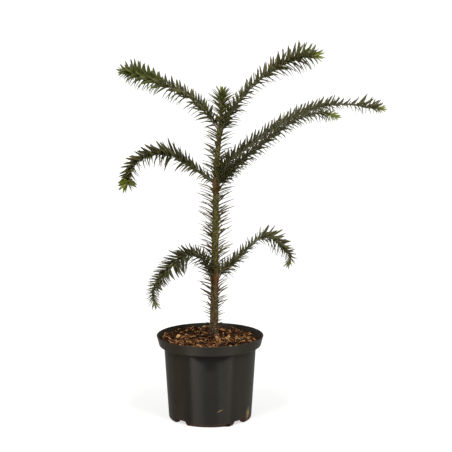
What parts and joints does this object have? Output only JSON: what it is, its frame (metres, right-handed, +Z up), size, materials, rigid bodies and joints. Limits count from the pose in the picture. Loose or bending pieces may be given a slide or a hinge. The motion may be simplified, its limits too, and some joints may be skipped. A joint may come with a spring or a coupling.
{
  "type": "potted monkey puzzle tree",
  "caption": "Young monkey puzzle tree: spiny arching boughs in whorls round one straight trunk, in a round black nursery pot topped with bark chips.",
  "frame": {"origin": "on the ground, at the middle of the pot's underside", "axes": "+Z up, +X to the right and +Y away from the viewer in the picture"},
  "size_m": [0.4863, 0.2943, 0.672],
  "materials": {
    "pot_plastic": "moulded black polypropylene with a soft sheen",
    "potting_compost": "dark damp peat and bark compost",
    "bark_chips": "broken conifer bark, orange-brown to dark brown",
    "trunk_bark": "grey-brown ringed bark",
    "shoot_bark": "green-brown young bark",
    "mature_leaf": "dark green leathery leaf",
    "young_leaf": "lighter green leathery leaf"
  },
  "bodies": {
    "root": {"pot": "pot_plastic", "potting_soil": "potting_compost", "bark_mulch": "bark_chips", "trunk": "trunk_bark", "bough_top_left": "shoot_bark", "bough_top_right": "shoot_bark", "bough_middle_left": "shoot_bark", "bough_middle_right_back": "shoot_bark", "bough_middle_right_front": "shoot_bark", "bough_low_left": "shoot_bark", "bough_low_right": "shoot_bark", "foliage_top_left_inner": "mature_leaf", "foliage_top_left_outer": "young_leaf", "foliage_top_right_inner": "mature_leaf", "foliage_top_right_outer": "young_leaf", "foliage_middle_left_inner": "mature_leaf", "foliage_middle_left_outer": "young_leaf", "foliage_middle_right_back_inner": "mature_leaf", "foliage_middle_right_back_outer": "young_leaf", "foliage_middle_right_front_inner": "mature_leaf", "foliage_middle_right_front_outer": "young_leaf", "foliage_low_left_inner": "mature_leaf", "foliage_low_left_outer": "young_leaf", "foliage_low_right_inner": "mature_leaf", "foliage_low_right_outer": "young_leaf", "leader_shoot": "young_leaf", "trunk_leaves_low": "mature_leaf", "trunk_leaves_middle": "mature_leaf", "trunk_leaves_upper": "mature_leaf"}
  },
  "joints": []
}
